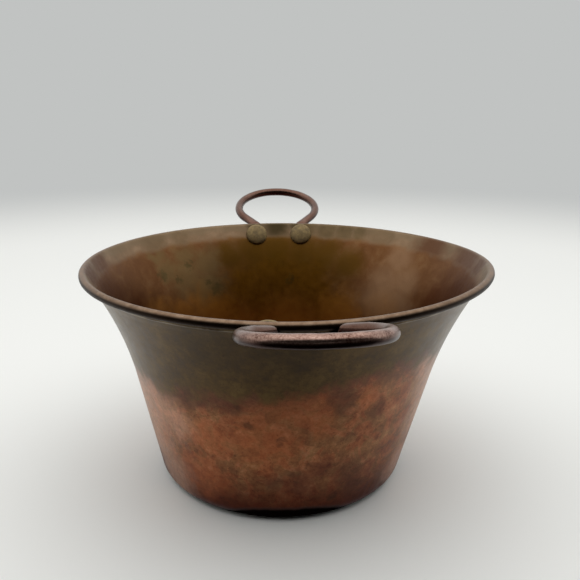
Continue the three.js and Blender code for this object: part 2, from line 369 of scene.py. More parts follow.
# turns a rivet, hammers it and puts it on its seat
def rivetTree():
    tree, given = newTree("hammeredRivet", {
        "Section": "Object", "Turn Steps": "Int", "Seat": "Object", **handwork,
    })
    geometry = turnSection(tree, given["Section"], given["Turn Steps"])
    normal = addNode(tree, "GeometryNodeInputNormal").outputs[0]
    geometry = workByHand(tree, geometry, normal, given["Dent Depth"], given["Dent Size"], given["Seed"])
    seat = addNode(tree, "GeometryNodeObjectInfo", {"Object": given["Seat"]}).outputs["Transform"]
    geometry = addNode(
        tree, "GeometryNodeTransform", {"Geometry": geometry, "Transform": seat}, mode="MATRIX"
    ).outputs[0]
    endTree(tree, standOutOfTrue(tree, geometry, given), given["Material"])
    return tree


# sweeps the rod along its path, spreads its feet aside as forged, and lays the pads
def rodTree():
    tree, given = newTree("forgedRod", {
        "Path": "Object", "Rod Sides": "Int", "Pad Size": "Vector", "Pad Shift": "Vector",
        "Seat A": "Object", "Seat B": "Object", "Material": "Material",
    })
    path = addNode(tree, "GeometryNodeObjectInfo", {"Object": given["Path"]}).outputs["Geometry"]
    line = addNode(tree, "GeometryNodeMeshToCurve", {"Mesh": path}).outputs[0]
    place = addNode(tree, "GeometryNodeInputPosition").outputs[0]
    line = addNode(
        tree, "GeometryNodeStoreNamedAttribute", {"Geometry": line, "Name": "centre", "Value": place},
        data_type="FLOAT_VECTOR",
    ).outputs[0]
    ring = addNode(tree, "GeometryNodeCurvePrimitiveCircle", {
        "Resolution": given["Rod Sides"], "Radius": 1.0,
    })
    kinds = {"rodRadius": "FLOAT", "spread": "FLOAT", "across": "FLOAT_VECTOR", "centre": "FLOAT_VECTOR"}
    kept = {
        name: addNode(tree, "GeometryNodeInputNamedAttribute", {"Name": name}, data_type=kind).outputs[0]
        for name, kind in kinds.items()
    }
    swept = addNode(tree, "GeometryNodeCurveToMesh", {
        "Curve": line, "Profile Curve": ring.outputs["Curve"], "Scale": kept["rodRadius"], "Fill Caps": True,
    }).outputs[0]
    off = addNode(
        tree, "ShaderNodeVectorMath", {0: place, 1: kept["centre"]}, operation="SUBTRACT"
    ).outputs[0]
    aside = addNode(
        tree, "ShaderNodeVectorMath", {0: off, 1: kept["across"]}, operation="DOT_PRODUCT"
    ).outputs["Value"]
    further = addNode(
        tree, "ShaderNodeMath", {0: aside, 1: kept["spread"]}, operation="MULTIPLY"
    ).outputs[0]
    offset = addNode(
        tree, "ShaderNodeVectorMath", {0: kept["across"], "Scale": further}, operation="SCALE"
    ).outputs[0]
    swept = addNode(tree, "GeometryNodeSetPosition", {"Geometry": swept, "Offset": offset}).outputs[0]
    blank = addNode(tree, "GeometryNodeMeshCylinder", {
        "Vertices": handle["padSides"], "Radius": 0.5, "Depth": 1.0,
    })
    sized = addNode(tree, "GeometryNodeTransform", {
        "Geometry": blank.outputs["Mesh"], "Scale": given["Pad Size"], "Translation": given["Pad Shift"],
    })
    joined = addNode(tree, "GeometryNodeJoinGeometry", {0: swept})
    for name in ("Seat A", "Seat B"):
        seat = addNode(tree, "GeometryNodeObjectInfo", {"Object": given[name]}).outputs["Transform"]
        pad = addNode(
            tree, "GeometryNodeTransform", {"Geometry": sized.outputs[0], "Transform": seat}, mode="MATRIX"
        )
        tree.links.new(pad.outputs[0], joined.inputs[0])
    endTree(tree, joined.outputs[0], given["Material"])
    return tree


# the same handwork for a piece that is already there
def finishTree():
    tree, given = newTree("handFinish", {"Source": "Geometry", **handwork})
    normal = addNode(tree, "GeometryNodeInputNormal").outputs[0]
    geometry = workByHand(
        tree, given["Source"], normal, given["Dent Depth"], given["Dent Size"], given["Seed"]
    )
    endTree(tree, standOutOfTrue(tree, geometry, given), given["Material"])
    return tree


def addTree(piece, tree, values):
    modifier = piece.modifiers.new(tree.name, "NODES")
    modifier.node_group = tree
    for item in tree.interface.items_tree:
        if item.in_out == "INPUT" and item.name in values:
            modifier[item.identifier] = values[item.name]
    return modifier


def emptyPiece(name):
    piece = bpy.data.objects.new(name, bpy.data.meshes.new(name))
    scene.collection.objects.link(piece)
    return piece


# the evaluated result becomes the piece's own plain mesh, and its modifiers go
def bakeMesh(piece, material):
    graph = bpy.context.evaluated_depsgraph_get()
    mesh = bpy.data.meshes.new_from_object(piece.evaluated_get(graph))
    piece.modifiers.clear()
    piece.data = mesh
    mesh.name = piece.name
    mesh.materials.clear()
    mesh.materials.append(material)
    mesh.shade_smooth()
    return piece


def dress(piece, node):
    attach(piece, "root")
    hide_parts(node)


def newMaterial(name):
    material = bpy.data.materials.new(name)
    material.use_nodes = True
    return material, material.node_tree, material.node_tree.nodes["Principled BSDF"]


# Raised copper, tarnished: dull metal with broad soft lights, olive above, red and mottled below
tarnish = {
    "patches": {  # millimetres across, detail, roughness, distortion
        "middle": (13.0, 5.0, 0.55, 0.3),
        "fine": (4.5, 6.0, 0.6, 0.1),
        "grain": (2.8, 6.0, 0.7, 0.7),
        "speck": (1.4, 2.0, 0.5, 0.0),
        "tide": (11.0, 4.0, 0.55, 0.8),
    },
    "outsideFine": 0.5,  # share of the fine patches in the mottle
    "insideFine": 0.4,
    "edgeHeights": [  # lower edge of the olive tarnish: degrees from the front, millimetres up
        (-180, 94), (-120, 92), (-65, 90), (-45, 90), (-25, 96), (0, 99), (15, 105), (28, 111), (42, 109),
        (60, 101), (120, 95), (180, 94),
    ],
    "edgeRange": (60.0, 140.0),
    "edgeSoft": 7.0,
    "edgeWander": 7.0,
    "wanderRange": (0.3, 0.7),  # of the middle patches, for a full swing either way
    "redCopper": [(0.36, "#713f29"), (0.47, "#8d5638"), (0.55, "#9e6544"), (0.66, "#b27c59")],
    "brownCopper": [(0.36, "#68422b"), (0.47, "#805638"), (0.55, "#8d6241"), (0.66, "#a17852")],
    "driedRange": (0.46, 0.54),  # of the tide, from red to brown
    "pit": "#33251a",
    "pitRange": (0.62, 0.72),
    "pitShare": 0.55,
    "tideMark": "#b4835c",
    "markWidth": 0.01,
    "markShare": 0.35,
    "fringe": "#5c382c",
    "fringeShare": 0.6,
    "fringeReach": (14.0, 2.0),  # millimetres below the olive's edge
    "olive": [(0.36, "#453522"), (0.5, "#554123"), (0.64, "#68522e")],
    "ridge": "#8d8270",
    "ridgeReach": (0.8, 0.2),  # millimetres to either side of the ridge
    "ridgeBare": (0.42, 0.6),  # of the middle patches, where it is rubbed
    "ridgeShare": 0.8,
    # painted shade: the copper darkens towards the foot
    "foot": "#4a1a0b",
    "footHeights": (50.0, 4.0),
    "baseShade": "#0a0504",  # painted shade: black under the base
    "baseShadeHeights": (2.5, 11.0),  # top of the painted shade: low round the back, higher at the front
    "baseShadeFacing": (0.85, 1.0),
    "baseShadeSoft": (-3.0, 1.5),  # millimetres below its top
    "baseShadeWander": 0.08,  # share of the olive edge's wander
    "grainRange": (0.32, 0.68),
    "grainTones": (0.38, 0.66),
    "copperGrain": 0.85,
    "oliveGrain": 0.6,
    "inside": [(0.34, "#5f3d24"), (0.5, "#6a472b"), (0.66, "#785638")],
    "lip": [(0.34, "#735f49"), (0.5, "#826c55"), (0.66, "#937c64")],
    "lipDrop": (14.0, 8.0),  # millimetres below the bead
    "lipShare": 0.8,
    "lipWander": 0.3,
    "lipTop": "#75654f",
    "lipTopDrop": (6.5, 2.5),
    "lipTopShare": 0.5,
    "lipStainDrop": (14.0, 9.0),
    "bead": [(0.36, "#6c5644"), (0.5, "#7a6350"), (0.64, "#8a735f")],
    "beadInside": "#574d39",
    # painted shade for the bead's outer and lower faces
    "beadUnderShade": "#2a1e15",
    "beadLitWear": (0.5, 1.0),  # how far up a face takes the lighter colour, partly rubbed wear and partly painted highlight
    "beadTilt": 0.25,  # and how much it leans outwards
    "beadShadeOut": (-0.3, 0.3),  # how far out a face takes the painted shade
    "stainCore": 0.25,  # share of a stain's reach at full strength
    "metal": 0.93,
    "shine": 0.5,
    "film": 0.65,
    "filmHeights": (15.0, 115.0),
    "filmIor": 1.2,
    "filmRoughness": 0.3,
    "roughFrom": (0.25, 0.75),  # of the fine patches, from smooth to rough
    "roughness": (0.36, 0.54),
    "bumpDepth": 0.12,
    "bumpStrength": 0.5,
}
# stains: colour, strength, the patches and millimetres by which their edges wander, and their places
# as degrees from the front, millimetres up, reach
outsideStains = [
    ("#cfa58c", 0.44, "middle", 13.0, [  # painted sheen, pale pink, on the sides
        (-60, 72, 44), (-62, 38, 30), (-55, 100, 22), (60, 88, 34), (62, 58, 30), (50, 104, 18),
        (-45, 66, 22), (-55, 18, 28), (60, 20, 28),
    ]),
    ("#cfa58c", 0.2, "middle", 16.0, [  # and a weaker painted sheen round the back
        (88, 76, 32), (92, 40, 28), (112, 60, 24), (-88, 66, 32), (-100, 36, 28), (-118, 70, 24),
        (150, 52, 26), (-160, 60, 28),
    ]),
    ("#523023", 0.6, "middle", 10.0, [  # purple oxide
        (-23, 90, 13), (-18.5, 89, 10), (-37, 90, 12), (-30, 92, 10), (11, 92, 10), (16, 91, 15),
        (29, 81, 11), (24, 39, 20), (4, 33, 16), (11, 42, 13), (-6, 35, 11), (20, 66, 9), (27, 26, 14),
    ]),
    ("#b4653a", 0.35, "middle", 13.0, [  # warm, clean copper
        (-11, 66, 34), (24, 94, 12), (2, 92, 24), (-30, 62, 22), (8, 80, 16), (-6, 89, 16), (-36, 30, 26),
    ]),
    ("#3a2619", 0.5, "fine", 4.5, [  # burnt spots
        (-15, 76.5, 5), (-4, 67.5, 4), (-4.5, 63, 3.5), (40.2, 37.3, 2), (17.8, 17.5, 5), (-18.5, 89.5, 4.5),
        (33, 58, 2.5), (-21, 52, 2.5), (6, 47, 3),
    ]),
]
oliveFrontShade = [("#2a2116", 0.4, "middle", 13.0, [(-4, 140, 40), (-24, 138, 38)])]  # painted shade under the rim at the front
insideStains = [
    ("#6e4709", 0.85, "middle", 13.0, [  # golden brown at the back
        (180, 110, 46), (168, 104, 44), (-170, 102, 42), (180, 80, 60), (158, 86, 30), (-156, 82, 30),
    ]),
    ("#573c10", 0.8, "middle", 8.0, [  # deeper under the rim
        (180, 134, 26), (169, 133, 26), (160, 130, 25), (150, 124, 22), (-170, 134, 24), (-161, 131, 20),
    ]),
    ("#ab7432", 0.6, "middle", 13.0, [  # painted light, golden, low on the wall where it lies in shade
        (174, 68, 40), (-160, 66, 34), (150, 80, 34), (-148, 80, 36), (128, 86, 28), (-118, 90, 30),
        (-132, 84, 30), (-146, 94, 24),
    ]),
    ("#532a10", 0.75, "middle", 13.0, [  # red ends
        (-88, 116, 46), (88, 118, 46), (100, 110, 32), (-104, 104, 30), (74, 128, 30), (-74, 128, 30),
    ]),
    ("#8a6b50", 0.65, "middle", 6.0, [  # tan
        (128, 134, 20), (130, 113, 26), (122, 118, 22), (132, 99, 26),
        (123, 100, 24), (127, 88, 26), (117, 90, 24),
    ]),
    ("#6f5c3c", 0.6, "middle", 13.0, [  # grey olive
        (-140, 118, 24), (-150, 108, 22), (-132, 126, 15), (-150, 126, 20), (-141, 134, 16), (-128, 136, 12),
    ]),
    ("#3f3b22", 0.5, "fine", 9.0, [  # verdigris
        (-128, 123, 7), (-136, 116, 5), (-142, 127, 6), (-153, 105, 9), (-149, 111, 5), (174, 108, 6),
    ]),
]
lipStains = [
    ("#3a301d", 0.9, "middle", 6.0, [(180, 150, 21), (172, 150, 13), (-172, 150, 13)]),
    ("#56472f", 0.75, "middle", 6.0, [(168, 149, 16), (161, 148, 17), (154, 148, 16), (148, 148, 12)]),
    ("#573521", 0.8, "middle", 10.0, [
        (95, 148, 32), (116, 147, 28), (84, 148, 18), (-97, 148, 22), (-84, 148, 24),
    ]),
    ("#66533c", 0.6, "middle", 10.0, [(140, 148, 18), (-130, 148, 20), (-142, 147, 14)]),
]


wallPoints = [point for point, name in sheetOutline()]


# place on the wall's outer face, in metres
def wallPlace(degrees, height):
    spans = zip(wallPoints, wallPoints[1:])
    radius = max(a.x for a, b in spans if min(a.y, b.y) <= height <= max(a.y, b.y))
    turn = math.radians(degrees)
    aside = pan["leanSlope"] * height
    return Vector((radius * math.sin(turn) + aside, -radius * math.cos(turn), height)) * mm


# lays stains over a colour, each strongest at its places and with ragged edges
def stainOver(tree, place, patch, colour, stains):
    for hexColour, strength, name, wander, places in stains:
        swing = addNode(tree, "ShaderNodeVectorMath", {
            0: patch[name]["Color"], 1: (0.5, 0.5, 0.5),
        }, operation="SUBTRACT").outputs[0]
        ragged = addNode(tree, "ShaderNodeVectorMath", {
            0: swing, 1: (2 * wander * mm,) * 3, 2: place,
        }, operation="MULTIPLY_ADD").outputs[0]
        share = 0.0
        for degrees, height, size in places:
            gap = addNode(tree, "ShaderNodeVectorMath", {
                0: ragged, 1: wallPlace(degrees, height),
            }, operation="DISTANCE").outputs["Value"]
            near = addNode(tree, "ShaderNodeMapRange", {
                "Value": gap, 1: size * mm, 2: tarnish["stainCore"] * size * mm, 4: strength,
            }, interpolation_type="SMOOTHSTEP").outputs[0]
            share = addNode(tree, "ShaderNodeMath", {0: share, 1: near}, operation="MAXIMUM").outputs[0]
        colour = addNode(tree, "ShaderNodeMix", {
            0: share, 6: colour, 7: linear(hexColour),
        }, data_type="RGBA").outputs[2]
    return colour


# height above the olive's lower edge, which rises and falls round the pan
def aboveEdge(tree, axes):
    back = addNode(tree, "ShaderNodeMath", {0: axes["Y"], 1: -1.0}, operation="MULTIPLY").outputs[0]
    angle = addNode(tree, "ShaderNodeMath", {0: axes["X"], 1: back}, operation="ARCTAN2").outputs[0]
    turned = addNode(tree, "ShaderNodeMapRange", {"Value": angle, 1: -math.pi, 2: math.pi}).outputs[0]
    edge = addNode(tree, "ShaderNodeFloatCurve", {"Value": turned})
    low, high = tarnish["edgeRange"]
    line = edge.mapping.curves[0]
    stops = [((d + 180) / 360, (h - low) / (high - low)) for d, h in tarnish["edgeHeights"]]
    while len(line.points) < len(stops):
        line.points.new(0.5, 0.5)
    for point, stop in zip(line.points, stops):
        point.location = stop
    edge.mapping.update()
    height = addNode(tree, "ShaderNodeMapRange", {
        "Value": edge.outputs[0], 3: low * mm, 4: high * mm,
    }).outputs[0]
    return addNode(tree, "ShaderNodeMath", {0: axes["Z"], 1: height}, operation="SUBTRACT").outputs[0]


# painted shade: the base is black all round, and higher at the front
def baseShadeShare(tree, place, axes, wander):
    facing = addNode(
        tree, "ShaderNodeVectorMath", {0: radialAt(tree, place), 1: (0, -1, 0)}, operation="DOT_PRODUCT"
    ).outputs["Value"]
    low, high = tarnish["baseShadeFacing"]
    back, front = (height * mm for height in tarnish["baseShadeHeights"])
    top = addNode(tree, "ShaderNodeMapRange", {
        "Value": facing, 1: low, 2: high, 3: back, 4: front,
    }, interpolation_type="SMOOTHSTEP").outputs[0]
    under = addNode(tree, "ShaderNodeMath", {0: top, 1: axes["Z"]}, operation="SUBTRACT").outputs[0]
    strayed = addNode(
        tree, "ShaderNodeMath", {0: wander, 1: tarnish["baseShadeWander"], 2: under}, operation="MULTIPLY_ADD"
    ).outputs[0]
    low, high = (reach * mm for reach in tarnish["baseShadeSoft"])
    return addNode(tree, "ShaderNodeMapRange", {
        "Value": strayed, 1: low, 2: high,
    }, interpolation_type="SMOOTHSTEP").outputs[0]


# mottled copper with tide marks, pits, stains and painted sheen, with painted shade darkening it towards the
# foot and painted black shade below
def bareCopper(tree, place, axes, patch, mottle, pits, grain, wandered, baseShade):
    red, brown = (
        addNode(tree, "ShaderNodeValToRGB", {0: mottle}, tarnish[name]).outputs[0]
        for name in ("redCopper", "brownCopper")
    )
    tide = patch["tide"]["Fac"]
    low, high = tarnish["driedRange"]
    dried = addNode(tree, "ShaderNodeMapRange", {"Value": tide, 1: low, 2: high}).outputs[0]
    copper = addNode(tree, "ShaderNodeMix", {0: dried, 6: red, 7: brown}, data_type="RGBA").outputs[2]
    middle = addNode(tree, "ShaderNodeMath", {0: tide, 1: 0.5}, operation="SUBTRACT").outputs[0]
    offMark = addNode(tree, "ShaderNodeMath", {0: middle}, operation="ABSOLUTE").outputs[0]
    marks = addNode(tree, "ShaderNodeMapRange", {
        "Value": offMark, 1: tarnish["markWidth"], 2: 0.0, 4: tarnish["markShare"],
    }).outputs[0]
    low, high = (-reach * mm for reach in tarnish["fringeReach"])
    fringe = addNode(tree, "ShaderNodeMapRange", {
        "Value": wandered, 1: low, 2: high, 4: tarnish["fringeShare"],
    }, interpolation_type="SMOOTHSTEP").outputs[0]
    # painted shade: darker towards the foot
    high, low = (height * mm for height in tarnish["footHeights"])
    foot = addNode(tree, "ShaderNodeMapRange", {
        "Value": axes["Z"], 1: high, 2: low,
    }, interpolation_type="SMOOTHSTEP").outputs[0]
    for share, name in ((marks, "tideMark"), (pits, "pit"), (fringe, "fringe"), (foot, "foot")):
        copper = addNode(tree, "ShaderNodeMix", {
            0: share, 6: copper, 7: linear(tarnish[name]),
        }, data_type="RGBA").outputs[2]
    copper = stainOver(tree, place, patch, copper, outsideStains)
    copper = addNode(tree, "ShaderNodeMix", {
        0: tarnish["copperGrain"], 6: copper, 7: grain,
    }, data_type="RGBA", blend_type="OVERLAY").outputs[2]
    # painted shade: black at the base
    return addNode(tree, "ShaderNodeMix", {
        0: baseShade, 6: copper, 7: linear(tarnish["baseShade"]),
    }, data_type="RGBA").outputs[2]


# olive tarnish, with painted shade under the rim at the front and the stake's ridge rubbed here and there
def oliveSkin(tree, place, drop, patch, mottle, pits, grain):
    olive = addNode(tree, "ShaderNodeValToRGB", {0: mottle}, tarnish["olive"]).outputs[0]
    olive = stainOver(tree, place, patch, olive, oliveFrontShade)
    olive = addNode(tree, "ShaderNodeMix", {
        0: pits, 6: olive, 7: linear(tarnish["pit"]),
    }, data_type="RGBA").outputs[2]
    olive = addNode(tree, "ShaderNodeMix", {
        0: tarnish["oliveGrain"], 6: olive, 7: grain,
    }, data_type="RGBA", blend_type="OVERLAY").outputs[2]
    offRidge = addNode(
        tree, "ShaderNodeMath", {0: drop, 1: pan["ridgeDrop"] * mm}, operation="SUBTRACT"
    ).outputs[0]
    ridgeGap = addNode(tree, "ShaderNodeMath", {0: offRidge}, operation="ABSOLUTE").outputs[0]
    low, high = (reach * mm for reach in tarnish["ridgeReach"])
    onRidge = addNode(tree, "ShaderNodeMapRange", {"Value": ridgeGap, 1: low, 2: high}).outputs[0]
    low, high = tarnish["ridgeBare"]
    bare = addNode(tree, "ShaderNodeMapRange", {
        "Value": patch["middle"]["Fac"], 1: low, 2: high, 4: tarnish["ridgeShare"],
    }).outputs[0]
    lighterShare = addNode(tree, "ShaderNodeMath", {0: onRidge, 1: bare}, operation="MULTIPLY").outputs[0]
    return addNode(tree, "ShaderNodeMix", {
        0: lighterShare, 6: olive, 7: linear(tarnish["ridge"]),
    }, data_type="RGBA").outputs[2]


# copper below and a skin of olive tarnish above, both with pits and a fine light and dark grain
def outsideColour(tree, place, axes, drop, patch, wander, baseShade):
    mottle = addNode(tree, "ShaderNodeMix", {
        0: tarnish["outsideFine"], 2: patch["middle"]["Fac"], 3: patch["fine"]["Fac"],
    }).outputs[0]
    low, high = tarnish["pitRange"]
    pits = addNode(tree, "ShaderNodeMapRange", {
        "Value": patch["speck"]["Fac"], 1: low, 2: high, 4: tarnish["pitShare"],
    }).outputs[0]
    low, high = tarnish["grainRange"]
    dark, light = tarnish["grainTones"]
    grain = addNode(tree, "ShaderNodeMapRange", {
        "Value": patch["grain"]["Fac"], 1: low, 2: high, 3: dark, 4: light,
    }).outputs[0]
    above = aboveEdge(tree, axes)
    wandered = addNode(tree, "ShaderNodeMath", {0: above, 1: wander}, operation="ADD").outputs[0]
    copper = bareCopper(tree, place, axes, patch, mottle, pits, grain, wandered, baseShade)
    olive = oliveSkin(tree, place, drop, patch, mottle, pits, grain)
    soft = tarnish["edgeSoft"] * mm
    share = addNode(tree, "ShaderNodeMapRange", {
        "Value": wandered, 1: -soft, 2: soft,
    }, interpolation_type="SMOOTHSTEP").outputs[0]
    return addNode(tree, "ShaderNodeMix", {0: share, 6: copper, 7: olive}, data_type="RGBA").outputs[2]


# brown with golden depths, and a greyer band under the rim
def insideColour(tree, place, drop, patch, wander):
    mottle = addNode(tree, "ShaderNodeMix", {
        0: tarnish["insideFine"], 2: patch["middle"]["Fac"], 3: patch["fine"]["Fac"],
    }).outputs[0]
    brown = addNode(tree, "ShaderNodeValToRGB", {0: mottle}, tarnish["inside"]).outputs[0]
    colour = stainOver(tree, place, patch, brown, insideStains)
    lip = addNode(tree, "ShaderNodeValToRGB", {0: mottle}, tarnish["lip"]).outputs[0]
    strayed = addNode(
        tree, "ShaderNodeMath", {0: wander, 1: tarnish["lipWander"], 2: drop}, operation="MULTIPLY_ADD"
    ).outputs[0]
    for name, over in (("lip", lip), ("lipTop", linear(tarnish["lipTop"]))):
        low, high = (reach * mm for reach in tarnish[name + "Drop"])
        share = addNode(tree, "ShaderNodeMapRange", {
            "Value": strayed, 1: low, 2: high, 4: tarnish[name + "Share"],
        }, interpolation_type="SMOOTHSTEP").outputs[0]
        colour = addNode(tree, "ShaderNodeMix", {0: share, 6: colour, 7: over}, data_type="RGBA").outputs[2]
    low, high = (reach * mm for reach in tarnish["lipStainDrop"])
    rangeShare = addNode(tree, "ShaderNodeMapRange", {"Value": drop, 1: low, 2: high}).outputs[0]
    stained = stainOver(tree, place, patch, colour, lipStains)
    return addNode(tree, "ShaderNodeMix", {0: rangeShare, 6: colour, 7: stained}, data_type="RGBA").outputs[2]


# the bead is lighter along its top, partly rubbed wear and partly painted highlight, olive on its inside,
# and in painted shade on its outer and lower faces
def beadColour(tree, place, patch):
    normal = addNode(tree, "ShaderNodeNewGeometry").outputs["Normal"]
    upward = addNode(tree, "ShaderNodeSeparateXYZ", {0: normal}).outputs["Z"]
    outward = addNode(
        tree, "ShaderNodeVectorMath", {0: normal, 1: radialAt(tree, place)}, operation="DOT_PRODUCT"
    ).outputs["Value"]
    upFacing = addNode(
        tree, "ShaderNodeMath", {0: outward, 1: tarnish["beadTilt"], 2: upward}, operation="MULTIPLY_ADD"
    ).outputs[0]
    low, high = tarnish["beadLitWear"]
    lighterShare = addNode(tree, "ShaderNodeMapRange", {
        "Value": upFacing, 1: low, 2: high,
    }, interpolation_type="SMOOTHSTEP").outputs[0]
    low, high = tarnish["beadShadeOut"]
    shadedOut = addNode(tree, "ShaderNodeMapRange", {"Value": outward, 1: low, 2: high}).outputs[0]
    # painted shade on the outer faces, olive on the inner ones
    lowerFaces = addNode(tree, "ShaderNodeMix", {
        0: shadedOut, 6: linear(tarnish["beadInside"]), 7: linear(tarnish["beadUnderShade"]),
    }, data_type="RGBA").outputs[2]
    wornAndLit = addNode(tree, "ShaderNodeValToRGB", {0: patch["fine"]["Fac"]}, tarnish["bead"]).outputs[0]
    return addNode(tree, "ShaderNodeMix", {0: lighterShare, 6: lowerFaces, 7: wornAndLit}, data_type="RGBA").outputs[2]


def copperSheet():
    material, tree, shader = newMaterial("tarnishedRaisedCopper")
    place = addNode(tree, "ShaderNodeTexCoord").outputs["Object"]
    axes = addNode(tree, "ShaderNodeSeparateXYZ", {0: place}).outputs
    marks = addNode(tree, "ShaderNodeAttribute", attribute_name="sheetPlace").outputs["Vector"]
    inside, bead, drop = addNode(tree, "ShaderNodeSeparateXYZ", {0: marks}).outputs
    patch = {}
    for name, (size, detail, roughness, distortion) in tarnish["patches"].items():
        patch[name] = addNode(tree, "ShaderNodeTexNoise", {
            "Vector": place, "Scale": 1 / (size * mm), "Detail": detail, "Roughness": roughness,
            "Distortion": distortion,
        }).outputs
    reach = tarnish["edgeWander"] * mm
    low, high = tarnish["wanderRange"]
    wander = addNode(tree, "ShaderNodeMapRange", {
        "Value": patch["middle"]["Fac"], 1: low, 2: high, 3: -reach, 4: reach,
    }).outputs[0]
    baseShade = baseShadeShare(tree, place, axes, wander)
    outer = outsideColour(tree, place, axes, drop, patch, wander, baseShade)
    inner = insideColour(tree, place, drop, patch, wander)
    faces = addNode(tree, "ShaderNodeMix", {0: inside, 6: outer, 7: inner}, data_type="RGBA").outputs[2]
    rolled = beadColour(tree, place, patch)
    colour = addNode(tree, "ShaderNodeMix", {0: bead, 6: faces, 7: rolled}, data_type="RGBA").outputs[2]
    tree.links.new(colour, shader.inputs["Base Color"])
    # outside, an old film of wax and oxide catches the room at a glance, and the base's painted black shade
    # is matt
    bare = addNode(tree, "ShaderNodeMapRange", {"Value": baseShade, 3: tarnish["metal"], 4: 0.0}).outputs[0]
    metal = addNode(tree, "ShaderNodeMapRange", {"Value": inside, 3: bare, 4: 1.0}).outputs[0]
    tree.links.new(metal, shader.inputs["Metallic"])
    low, high = (height * mm for height in tarnish["filmHeights"])
    kept = addNode(tree, "ShaderNodeMapRange", {
        "Value": axes["Z"], 1: low, 2: high, 4: tarnish["film"],
    }).outputs[0]
    film = addNode(tree, "ShaderNodeMapRange", {"Value": inside, 3: kept, 4: 0.0}).outputs[0]
    tree.links.new(film, shader.inputs["Coat Weight"])
    shader.inputs["Coat IOR"].default_value = tarnish["filmIor"]
    shader.inputs["Coat Roughness"].default_value = tarnish["filmRoughness"]
    shine = addNode(tree, "ShaderNodeMapRange", {"Value": baseShade, 3: tarnish["shine"], 4: 0.0}).outputs[0]
    tree.links.new(shine, shader.inputs["Specular IOR Level"])
    low, high = tarnish["roughFrom"]
    smooth, rough = tarnish["roughness"]
    roughness = addNode(tree, "ShaderNodeMapRange", {
        "Value": patch["fine"]["Fac"], 1: low, 2: high, 3: smooth, 4: rough,
    }).outputs[0]
    tree.links.new(roughness, shader.inputs["Roughness"])
    bump = addNode(tree, "ShaderNodeBump", {
        "Height": patch["fine"]["Fac"], "Distance": tarnish["bumpDepth"] * mm,
        "Strength": tarnish["bumpStrength"],
    })
    tree.links.new(bump.outputs[0], shader.inputs["Normal"])
    return material


# gives a shader its colour, metal and roughness, and a bump where there is a grain
def finishMetal(tree, shader, skin, colour, grain=None):
    tree.links.new(colour, shader.inputs["Base Color"])
    shader.inputs["Metallic"].default_value = skin["metal"]
    shader.inputs["Roughness"].default_value = skin["roughness"]
    if grain is not None:
        bump = addNode(tree, "ShaderNodeBump", {
            "Height": grain, "Distance": skin["bumpDepth"] * mm, "Strength": skin["bumpStrength"],
        })
        tree.links.new(bump.outputs[0], shader.inputs["Normal"])


# Copper rod, drawn and forged: smooth pinkish metal with a fine grain, glossy enough to mirror the room
rod = {
    "grain": (0.9, 4.0, 0.6),  # millimetres across, detail, roughness
    "patch": (9.0, 5.0, 0.6),
    "patchShare": 0.45,
    "colours": [(0.38, "#5f4238"), (0.47, "#866a5f"), (0.55, "#997d71"), (0.66, "#b59a8d")],
    "darkTone": "#553b30",
    "darkToneShare": 0.8,
    "darkReach": (-178.0, -197.0),  # darker everywhere but the front handle's bar, fading over this reach in Y
    # painted shade on the rod's lower faces, and a lit colour on its upper ones
    "undersideShade": "#2a0e07",
    "shadeFacing": (-0.3, 0.55),  # how far up a face turns from the painted shade below to the lit colour
    "metal": 1.0,
    "roughness": 0.28,
    "bumpDepth": 0.05,
    "bumpStrength": 0.5,
}


def copperRod():
    material, tree, shader = newMaterial("forgedCopperRod")
    place = addNode(tree, "ShaderNodeTexCoord").outputs["Object"]
    grain, patch = (
        addNode(tree, "ShaderNodeTexNoise", {
            "Vector": place, "Scale": 1 / (size * mm), "Detail": detail, "Roughness": roughness,
        }).outputs["Fac"]
        for size, detail, roughness in (rod["grain"], rod["patch"])
    )
    mixed = addNode(tree, "ShaderNodeMix", {0: rod["patchShare"], 2: grain, 3: patch}).outputs[0]
    rodTone = addNode(tree, "ShaderNodeValToRGB", {0: mixed}, rod["colours"]).outputs[0]
    normal = addNode(tree, "ShaderNodeNewGeometry").outputs["Normal"]
    upward = addNode(tree, "ShaderNodeSeparateXYZ", {0: normal}).outputs["Z"]
    low, high = rod["shadeFacing"]
    lighterShare = addNode(tree, "ShaderNodeMapRange", {
        "Value": upward, 1: low, 2: high,
    }, interpolation_type="SMOOTHSTEP").outputs[0]
    # darker everywhere but the front handle's bar
    depth = addNode(tree, "ShaderNodeSeparateXYZ", {0: place}).outputs["Y"]
    low, high = (reach * mm for reach in rod["darkReach"])
    rangeShare = addNode(tree, "ShaderNodeMapRange", {
        "Value": depth, 1: low, 2: high, 3: rod["darkToneShare"], 4: 0.0,
    }).outputs[0]
    rodTone = addNode(tree, "ShaderNodeMix", {
        0: rangeShare, 6: rodTone, 7: linear(rod["darkTone"]),
    }, data_type="RGBA").outputs[2]
    # painted shade below, lit colour above
    colour = addNode(tree, "ShaderNodeMix", {
        0: lighterShare, 6: linear(rod["undersideShade"]), 7: rodTone,
    }, data_type="RGBA").outputs[2]
    finishMetal(tree, shader, rod, colour, grain)
    return material


# Hammered copper rivets under an olive skin: soft, broad lights
rivetSkin = {
    "grain": (4.0, 7.0, 0.65),  # millimetres across, detail, roughness
    "colours": [(0.3, "#67563a"), (0.5, "#86714b"), (0.72, "#a08a5a")],
    "metal": 0.35,
    "roughness": 0.7,
    "bumpDepth": 0.12,
    "bumpStrength": 0.5,
}


